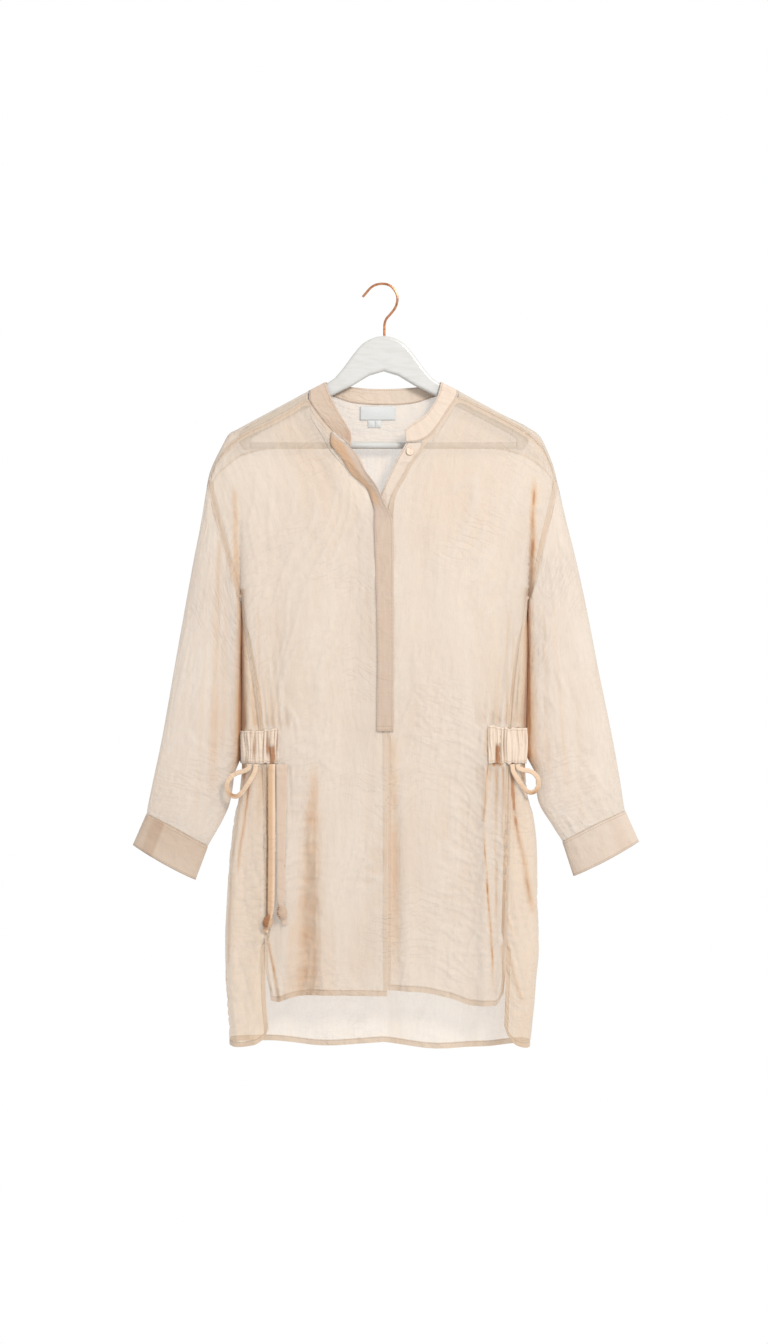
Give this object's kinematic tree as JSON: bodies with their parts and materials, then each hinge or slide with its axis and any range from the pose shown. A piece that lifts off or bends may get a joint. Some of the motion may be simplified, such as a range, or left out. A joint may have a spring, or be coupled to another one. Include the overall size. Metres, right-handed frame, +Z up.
{
  "type": "tunic top on a flat clothes hanger",
  "caption": "Long-sleeved popover tunic top with band collar, half placket and drawn-in sides, hanging flat on a wooden hanger.",
  "frame": {"origin": "the underside of the hook's top, where a rail or peg carries it", "axes": "+Z up, -Y out of the garment's front, +X to the viewer's right, which is the wearer's left"},
  "size_m": [0.6884, 0.0589, 1.0439],
  "materials": {
    "cloth": "semi-sheer wrinkled plain weave, matt",
    "banded_cloth": "the same cloth in several layers, denser and pinker",
    "label": "smooth woven tape",
    "painted_wood": "satin white paint",
    "copper_wire": "copper-coloured plating, polished",
    "button": "dyed resin, satin"
  },
  "bodies": {
    "root": {"back": "cloth", "yoke": "cloth", "front_right": "cloth", "front_left": "cloth", "sleeve_right": "cloth", "sleeve_left": "cloth", "collar": "banded_cloth", "placket_top": "banded_cloth", "placket_under": "banded_cloth", "cuff_right": "banded_cloth", "cuff_left": "banded_cloth", "casing_right": "banded_cloth", "casing_left": "banded_cloth", "tie_1": "banded_cloth", "tie_2": "banded_cloth", "loop_right": "banded_cloth", "loop_left": "banded_cloth", "neck_label": "label", "fibre_tab": "label", "size_tab": "label", "hanger_body": "painted_wood", "hanger_bar": "painted_wood", "hanger_hook": "copper_wire", "neck_button": "button", "cuff_button_right": "button", "cuff_button_left": "button"}
  },
  "joints": []
}
